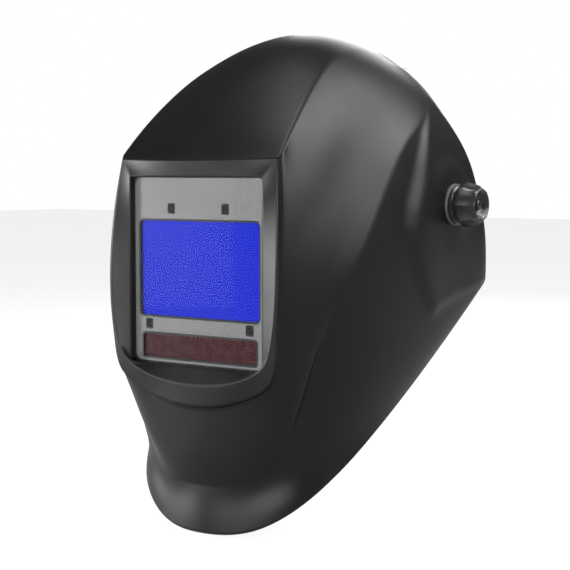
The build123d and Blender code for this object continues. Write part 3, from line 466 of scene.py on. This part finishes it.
# Half outlines from the top middle to the bottom middle, (X, Y, Z) in millimetres from the window's middle.
# The third point is on the crease beside the crown panel.
OUTLINES = {
    "mouth": [
        (0, -3, 64), (30, -3, 64), (56, -3, 64), (56, -3, 44), (56, -3, 24), (56, -3, 2),
        (56, -3, -22), (56, -3, -45), (56, -3, -64.5), (38, -3, -64.5), (20, -3, -64.5),
        (0, -3, -64.5),
    ],
    "ridge": [
        (0, -5, 75), (34, -4, 75.5), (66, 1, 77), (68.8, -3, 50), (70.2, -5.6, 26), (70.4, -7.4, 2),
        (69.5, -8, -22), (66, -7.5, -44), (60, -6.8, -58), (44, -7.4, -69), (23, -7.8, -74.5),
        (0, -8, -76),
    ],
    "band": [
        (0, -3.5, 76.5), (34, -2.5, 77), (67, 2.5, 78), (70.2, -1.5, 50), (71.7, -4.3, 26),
        (72, -6.4, 2), (71.2, -7, -24), (69, -6, -50), (64, -5, -70), (48, -5, -81), (25, -7, -88),
        (0, -8, -90.5),
    ],
    "step": [
        (0, -2.5, 77.5), (34, -1.5, 78), (67.5, 3.5, 79), (71.2, -0.5, 50), (72.7, -3.3, 26),
        (73, -5.3, 2), (72.2, -5.5, -24), (69, -4, -51), (63, -1.5, -71.5), (46, -1, -82.5),
        (24, -2.5, -90), (0, -3.5, -92.5),
    ],
    "front_panel": [
        (0, 39, 123), (31, 40, 121.5), (60, 43.5, 117), (77.5, 41, 86), (83, 29, 50), (84, 18, 13),
        (81.5, 11, -23), (76, 8.5, -58), (66, 9, -89), (47, 4, -103), (25, 0, -110), (0, -2, -112),
    ],
    "side_panel": [
        (0, 95, 161), (27, 96, 158), (50, 98, 149.5), (76, 99, 122), (91.5, 77, 83), (94.5, 48, 36),
        (90, 28, -8), (81, 18, -53), (68, 15, -95), (48.5, 9, -119), (26, 3, -128), (0, 0, -130),
    ],
    "crease": [
        (0, 160, 169.4), (25, 161, 164.6), (46, 161, 155.5), (84, 160, 124), (100.5, 112, 92),
        (102.5, 70, 50), (97, 40, 1), (82.5, 25.5, -48), (68, 21, -97), (52, 17, -129),
        (29, 8, -144), (0, 5, -147),
    ],
    "skirt_front": [
        (0, 168, 169), (25, 169, 163.8), (47, 169, 154.5), (87.5, 168, 119), (105, 133, 83),
        (109, 103, 37), (106, 77, -17), (95, 54, -70), (76.5, 34, -113), (55, 21, -139),
        (30, 9, -153), (0, 4, -155),
    ],
    "skirt_back": [
        (0, 176, 168.5), (26, 177, 163), (47, 177, 153), (90, 173, 114), (107, 165, 76),
        (111.5, 157, 30), (111, 140, -24), (102.5, 103, -74), (87, 61, -117), (67, 27, -147),
        (34, 9, -165), (0, 2, -168),
    ],
    "edge": [
        (0, 184, 167), (26, 185, 161.5), (47, 184, 151.5), (93, 177.5, 107.5), (107, 195, 68),
        (112, 204.5, 26), (112, 207, -16), (102, 141, -69), (91, 79, -115), (73, 32, -151),
        (37, 9, -175), (0, 1, -179),
    ],
}
# The surface bends sharply across these outlines, and each outline has sharp corners at these points
SHARP_OUTLINES = ("mouth", "ridge", "band", "step", "crease", "edge")
CORNERS = {
    "mouth": (2, 8, 14, 20),
    "ridge": (2, 20),
    "band": (2, 20),
    "step": (2, 20),
    "front_panel": (2, 20),
    "side_panel": (2, 20),
    "skirt_back": (6, 16),
    "edge": (6, 16),
}
AROUND, ALONG = 14, 9  # steps between neighbouring points of an outline, and between outlines
WALL = 2.6
RIM_BULGE = 0.9  # how far the middle of the wall's rear edge stands out
PIVOT = (-WINDOW.y / MM, -WINDOW.z / MM)  # (Y, Z) of the pivot from the window's middle
BOSS_FACE = 114.5
BOSS_FLAT, BOSS_BLEND = 15.5, 38  # the washer's face is flat to one radius and blends in by the other
BOSS_RADIUS, BORE_RADIUS = 19.0, 7.05
SIDE_START = 60  # only the shell's sides, beyond this far from its middle, carry pods and bosses
# The pod round the pivot: its front and lower edge from its tip to the hood's rear corner,
# as (Y, Z, height)
POD = [(158, 117, 0.0), (142, 106, 1.0), (129, 96, 2.0), (115, 79, 3.2), (105, 62, 4.2), (95, 45, 4.8),
       (92, 28, 4.8), (97, 8, 4.4), (106, -10, 3.8), (127, -36, 2.8), (152, -28, 2.2), (207, -16, 1.0)]
POD_RISE = 0.42  # how steeply the facet round the pod climbs to it
POD_FADE = (30, 85)  # the pod sinks back into the side between these distances from its edge
POD_FAR = 400  # beyond the hood, where the pod's outline is closed


def spline_moments(points, gaps, closed):
    """Second derivatives of the smooth cubic through points; its open ends are parabolas."""
    count = len(points)
    matrix = np.zeros((count, count))
    right_side = np.zeros((count, 3))
    for i in range(count):
        if not closed and i in (0, count - 1):
            matrix[i, i] = 1
            matrix[i, 1 if i == 0 else count - 2] = -1
            continue
        before, after = gaps[i - 1], gaps[i]
        matrix[i, i - 1] += before
        matrix[i, i] += 2 * (before + after)
        matrix[i, (i + 1) % count] += after
        slope_after = (points[(i + 1) % count] - points[i]) / after
        slope_before = (points[i] - points[i - 1]) / before
        right_side[i] = 6 * (slope_after - slope_before)
    return np.linalg.solve(matrix, right_side)


def smooth_curve(points, steps, closed=False):
    """Points along the smooth cubic through the given ones, steps to a span."""
    points = np.asarray(points, float)
    if len(points) == 2:
        share = np.linspace(0, 1, steps + 1)[:, None]
        return points[0] * (1 - share) + points[1] * share
    ends = np.concatenate([points, points[:1]]) if closed else points
    gaps = np.linalg.norm(np.diff(ends, axis=0), axis=1) ** 0.8 + 1e-9
    moments = spline_moments(points, gaps, closed)
    if closed:
        moments = np.concatenate([moments, moments[:1]])
    b = (np.arange(steps) / steps)[:, None]
    a = 1 - b
    spans = []
    for i, gap in enumerate(gaps):
        bend = (a**3 - a) * moments[i] + (b**3 - b) * moments[i + 1]
        spans.append(a * ends[i] + b * ends[i + 1] + bend * gap**2 / 6)
    if not closed:
        spans.append(ends[-1:])
    return np.concatenate(spans)


def outline_curve(name):
    """A whole outline: its half and the mirrored half, smooth between its corners."""
    half = np.array(OUTLINES[name], float)
    whole = np.vstack([half, half[1:-1][::-1] * [-1, 1, 1]])
    corners = CORNERS.get(name)
    if not corners:
        return smooth_curve(whole, AROUND, closed=True)
    count = len(whole)
    parts = []
    for first, last in zip(corners, corners[1:] + (corners[0] + count,)):
        stretch = [whole[i % count] for i in range(first, last + 1)]
        parts.append(smooth_curve(stretch, AROUND)[:-1])
    return np.roll(np.concatenate(parts), corners[0] * AROUND, axis=0)


def shell_surface():
    """The outside of the shell as rows of points from the window's mouth to the rear edge."""
    names = list(OUTLINES)
    curves = np.array([outline_curve(name) for name in names])
    sharp = [names.index(name) for name in SHARP_OUTLINES]
    rows = []
    for first, last in zip(sharp, sharp[1:]):
        zone = curves[first : last + 1]
        skin = np.stack([smooth_curve(zone[:, j], ALONG) for j in range(zone.shape[1])], axis=1)
        rows.append(skin if last == sharp[-1] else skin[:-1])
    return np.concatenate(rows)


def smoothstep(value, start, end):
    share = np.clip((value - start) / (end - start), 0, 1)
    return share * share * (3 - 2 * share)


def pod_height(y, z):
    """How far the pod stands out of the side at (Y, Z)."""
    nearest = np.full(y.shape, 1e9)
    weights, height = np.zeros(y.shape), np.zeros(y.shape)
    inside = np.zeros(y.shape, bool)
    for (y0, z0, h0), (y1, z1, h1) in zip(POD, POD[1:]):
        run = np.hypot(y1 - y0, z1 - z0)
        share = np.clip(((y - y0) * (y1 - y0) + (z - z0) * (z1 - z0)) / run**2, 0, 1)
        away = np.hypot(y - y0 - share * (y1 - y0), z - z0 - share * (z1 - z0))
        nearest = np.minimum(nearest, away)
        weight = run / (away + 1) ** 3
        weights += weight
        height += weight * (h0 + share * (h1 - h0))
    height /= weights
    corners = [(y0, z0) for y0, z0, _ in POD] + [(POD_FAR, 0), (POD_FAR, POD_FAR), (POD[0][0], POD_FAR)]
    for (y0, z0), (y1, z1) in zip(corners, corners[1:] + corners[:1]):
        crosses = (z0 > z) != (z1 > z)
        reach = y0 + (z - z0) * (y1 - y0) / (z1 - z0 if z1 != z0 else 1e-9)
        inside ^= crosses & (y < reach)
    raised = np.minimum(height, nearest * POD_RISE) * (1 - smoothstep(nearest, *POD_FADE))
    return np.where(inside, raised, 0.0)


def add_pods(rows):
    """Raises the pods and flattens the faces that the pivot washers lie on."""
    x, y, z = rows[..., 0], rows[..., 1], rows[..., 2]
    side = np.sign(x)
    on_side = np.abs(x) > SIDE_START
    out = np.abs(x) + np.where(on_side, pod_height(y, z), 0)
    from_pivot = np.hypot(y - PIVOT[0], z - PIVOT[1])
    flat = np.where(on_side, 1 - smoothstep(from_pivot, BOSS_FLAT, BOSS_BLEND), 0)
    raised = rows.copy()
    raised[..., 0] = side * (out * (1 - flat) + BOSS_FACE * flat)
    return raised


def row_normals(rows):
    around = np.roll(rows, -1, axis=1) - np.roll(rows, 1, axis=1)
    along = np.gradient(rows, axis=0)
    normal = np.cross(along, around)
    normal /= np.linalg.norm(normal, axis=2, keepdims=True) + 1e-9
    middle = rows.mean(axis=(0, 1))
    outward = np.sign(((rows - middle) * normal).sum(axis=2).mean())
    return normal * outward


def shell_inside(rows):
    """The inner face: a wall's thickness in, and flat behind the lip round the window."""
    inner = rows - row_normals(rows) * WALL
    lip_rows = SHARP_OUTLINES.index("step") * ALONG + 1
    inner[:lip_rows, :, 1] = np.maximum(inner[:lip_rows, :, 1], LIP_BACK)
    inner[0] = rows[0]
    inner[0, :, 1] = LIP_BACK
    return inner


def lathe(profile, segments, waist=None):
    """Points and faces of a turned ring round the X axis from a closed (x, radius) profile."""
    points = []
    for k in range(segments):
        turn = 2 * pi * k / segments
        for i, (x, radius) in enumerate(profile):
            r = radius * (1 - waist(i, turn)) if waist else radius
            points.append((x, r * cos(turn), r * sin(turn)))
    faces = wrapped_faces(segments, len(profile))
    return points, faces


def make_shell():
    rows = add_pods(shell_surface())
    inner = shell_inside(rows)
    rim_out = rows[-1] - rows[-2]
    rim_out /= np.linalg.norm(rim_out, axis=1, keepdims=True)
    rim = (rows[-1] + inner[-1]) / 2 + rim_out * RIM_BULGE
    skin = np.concatenate([rows, rim[None], inner[::-1]])
    points = skin.reshape(-1, 3) * MM + np.array(WINDOW)
    shell = new_piece("hood_shell", points, wrapped_faces(len(skin), skin.shape[1]), "shell_black")
    for side, name in SIDES:
        washer_low, washer_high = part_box(f"friction_washer_{name}")
        start = max(abs(washer_low.x), abs(washer_high.x)) / MM + 0.3
        end = BOSS_FACE - 1.2
        hollow = BORE_RADIUS - 0.65  # cut away again with the bore
        boss = [(start, hollow), (start, BOSS_RADIUS - 0.8), (start + 0.8, BOSS_RADIUS),
                (end, BOSS_RADIUS + 0.5), (end, hollow)]
        combine(shell, side, boss, "UNION")
        bore = [(start - 5, 0), (start - 5, BORE_RADIUS),
                (BOSS_FACE + 10, BORE_RADIUS), (BOSS_FACE + 10, 0)]
        combine(shell, side, bore, "DIFFERENCE")
    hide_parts("shell")
    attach(shell, "hood")


def combine(piece, side, profile, operation):
    """Adds or takes away a turned shape, given in millimetres, on the pivot line of one side."""
    points, faces = lathe([(side * x * MM, r * MM) for x, r in profile], 64)
    mesh = bpy.data.meshes.new("tool")
    mesh.from_pydata(points, [], faces)
    clean_mesh(mesh, 1e-5)
    tool = bpy.data.objects.new("tool", mesh)
    bpy.context.scene.collection.objects.link(tool)
    modifier = piece.modifiers.new("combine", "BOOLEAN")
    modifier.object = tool
    modifier.operation = operation
    modifier.solver = "EXACT"
    apply_modifiers(piece)
    bpy.data.objects.remove(tool)


# ---- Adjusting knobs ----

LOBES = 8
# Knob profile from its base: distance out and radius in millimetres, and how deep the scallops are there
KNOB_PROFILE = [
    (0.0, 5.8, 0), (0.0, 13.2, 0), (0.5, 14.0, 0), (2.2, 14.3, 0), (2.8, 13.8, 0), (3.3, 13.0, 0),
    (4.0, 13.6, 0.02), (5.0, 15.2, 0.08), (6.2, 16.0, 0.12), (8.0, 16.1, 0.14), (12.0, 15.3, 0.15),
    (16.0, 14.3, 0.14), (18.3, 13.4, 0.1), (19.4, 12.2, 0.05), (19.9, 11.2, 0), (19.5, 10.3, 0),
    (17.0, 8.4, 0), (14.6, 6.4, 0), (14.0, 5.2, 0), (14.0, 3.9, 0), (17.2, 3.6, 0), (17.9, 3.0, 0),
    (18.2, 1.6, 0), (18.3, 0.0, 0), (12.1, 0.0, 0), (12.1, 5.8, 0),
]


def make_knob(side, name):
    low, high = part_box(f"outer_knob_{name}")
    base = min(abs(low.x), abs(high.x))

    def scallop(i, turn):
        across = 2 * (LOBES * turn / (2 * pi) % 1) - 1
        return KNOB_PROFILE[i][2] * (1 - across**2)

    profile = [(side * (base + x * MM), r * MM) for x, r, _ in KNOB_PROFILE]
    points, faces = lathe(profile, LOBES * 16, scallop)
    knob = new_piece(f"grip_knob_{name}", points, faces, "knob_black")
    clean_mesh(knob.data, 1e-6)
    knob.data.shade_smooth()
    knob.data.set_sharp_from_angle(angle=radians(38))
    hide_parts(f"outer_knob_{name}")
    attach(knob, f"knob_{name}")


# ---- Headgear ----

HEAD_Y = 0.010  # the headband's middle behind the pivots
FRONT_TILT, REAR_TILT = radians(7), radians(22)


def band_point(tilt, half_x, half_y, angle, height):
    """A point on an ellipse of the headband's plan, by its angle from the front and height up the axis."""
    x = half_x * sin(angle)
    y = HEAD_Y - half_y * cos(angle)
    return Vector((x, y * cos(tilt) + height * sin(tilt), height * cos(tilt) - y * sin(tilt)))


PAD_ROWS, QUILT_STEPS = 14, 16  # mesh steps up a pad, and along each of its quilted parts
EDGE_DEPTH, SEAM_DEPTH, FOAM_DEPTH = 0.12, 0.3, 0.55  # shares of a pad's thickness before it swells


def make_pad(name, node, body, tilt, outer, thick, angles, heights, quilts):
    """A foam pad in knit cloth along the band, sewn to its backing round its edge and across it."""
    across, along = PAD_ROWS, QUILT_STEPS * quilts
    start, end = angles
    low, high = heights
    points = []
    pinned = []

    def offset_point(u, v, depth):
        angle = start + (end - start) * u
        height = low + (high - low) * v
        return band_point(tilt, outer[0] - depth, outer[1] - depth, angle, height)

    columns = along + 1
    for layer in range(2):
        for i in range(across + 1):
            for j in range(columns):
                u, v = j / along, i / across
                border = i in (0, across) or j in (0, along)
                seam = j % QUILT_STEPS == 0
                share = EDGE_DEPTH if border else SEAM_DEPTH if seam else FOAM_DEPTH
                points.append(offset_point(u, v, thick * share * layer))
                pinned.append(layer == 0 or border or seam)
    faces = []
    size = (across + 1) * columns
    for layer in range(2):
        for i in range(across):
            for j in range(along):
                a = layer * size + i * columns + j
                faces.append((a, a + 1, a + columns + 1, a + columns))
    ring = list(range(along)) + [i * columns + along for i in range(across)]
    ring += [across * columns + j for j in range(along, 0, -1)]
    ring += [i * columns for i in range(across, 0, -1)]
    for a, b in zip(ring, ring[1:] + ring[:1]):
        faces.append((a, b, b + size, a + size))
    pad = new_piece(name, points, faces, "pad_fabric")
    swell(pad, pinned, FOAM_DEPTH * thick)
    soften = pad.modifiers.new("soften", "SUBSURF")
    soften.levels = soften.render_levels = 1
    apply_modifiers(pad)
    pad.data.shade_smooth()
    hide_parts(node)
    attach(pad, body)


SWELL_FRAMES = 20


def swell(pad, pinned, cap):
    """Inflates the cloth between its seams, no point moving more than cap."""
    rest = np.array([v.co for v in pad.data.vertices])
    group = pad.vertex_groups.new(name="sewn")
    group.add([i for i, held in enumerate(pinned) if held], 1.0, "REPLACE")
    cloth = pad.modifiers.new("cloth", "CLOTH")
    cloth.settings.vertex_group_mass = "sewn"
    cloth.settings.use_pressure = True
    cloth.settings.uniform_pressure_force = 4
    cloth.settings.tension_stiffness = 5
    cloth.settings.compression_stiffness = 5
    cloth.settings.effector_weights.gravity = 0
    cloth.point_cache.frame_start, cloth.point_cache.frame_end = 1, SWELL_FRAMES
    for step in range(1, SWELL_FRAMES + 1):
        bpy.context.scene.frame_set(step)
    evaluated = pad.evaluated_get(bpy.context.evaluated_depsgraph_get())
    moved = np.array([v.co for v in evaluated.data.vertices]) - rest
    pad.modifiers.clear()
    bpy.context.scene.frame_set(1)
    length = np.linalg.norm(moved, axis=1, keepdims=True)
    moved *= np.minimum(1, cap / np.maximum(length, 1e-9))
    pad.data.vertices.foreach_set("co", (rest + moved).astype(np.float32).ravel())
    pad.data.update()
    pad.vertex_groups.clear()


PINION_CLEAR = 7.6 * MM  # from the pinion's axis to the nearest point of a rack
LONGEST_EDGE = 0.008  # a strap's longer edges are divided


def clear_pinion(strap):
    """Keeps the rack's teeth off the pinion, which turns while they stand still in the nape housing.

    The pinion's axis passes through the frame's origin.
    """
    axis = Vector((0, cos(REAR_TILT), -sin(REAR_TILT)))
    for vertex in strap.data.vertices:
        along = axis * vertex.co.dot(axis)
        away = vertex.co - along
        if 0 < away.length < PINION_CLEAR:
            vertex.co = along + away.normalized() * PINION_CLEAR


def make_rear_strap(name):
    """The strap's own shape with enough points to bend as the ratchet draws it in."""
    node = f"rear_strap_{name}"
    strap = bpy.data.objects.new(f"nape_strap_{name}", frame["nodes"][node].data.copy())
    bpy.context.scene.collection.objects.link(strap)
    work = bmesh.new()
    work.from_mesh(strap.data)
    bmesh.ops.remove_doubles(work, verts=work.verts, dist=1e-6)
    long_edges = [e for e in work.edges if e.calc_length() > LONGEST_EDGE]
    bmesh.ops.subdivide_edges(work, edges=long_edges, cuts=2)
    bmesh.ops.triangulate(work, faces=work.faces)
    work.to_mesh(strap.data)
    work.free()
    clear_pinion(strap)
    strap.data.shade_smooth()
    strap.data.set_sharp_from_angle(angle=radians(35))
    strap.data.materials.clear()
    strap.data.materials.append(FINISHES["band_black"])
    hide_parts(node)
    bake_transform(strap)


def dress_cad_nodes():
    """Gives each carried-over CAD piece the finish of its slot in the record."""
    for entry in frame["record"]["subparts"]:
        piece = frame["nodes"][entry["node"]]
        for material_slot in piece.material_slots:
            material_slot.material = FINISHES[entry["material_slot"]]


FINISHES = make_finishes()
make_camera()
make_lights()
make_floor()
dress_cad_nodes()
make_shell()
for side, name in SIDES:
    make_knob(side, name)
    make_rear_strap(name)
make_pad("brow_pad", "sweatband", "headgear", FRONT_TILT, outer=(0.0816, 0.1026), thick=0.005,
         angles=(radians(-60), radians(60)), heights=(-0.0105, 0.0225), quilts=6)
make_pad("nape_pad", "neck_pad", "ratchet", REAR_TILT, outer=(0.0716, 0.0965), thick=0.006,
         angles=(radians(150), radians(210)), heights=(-0.0175, 0.0175), quilts=3)
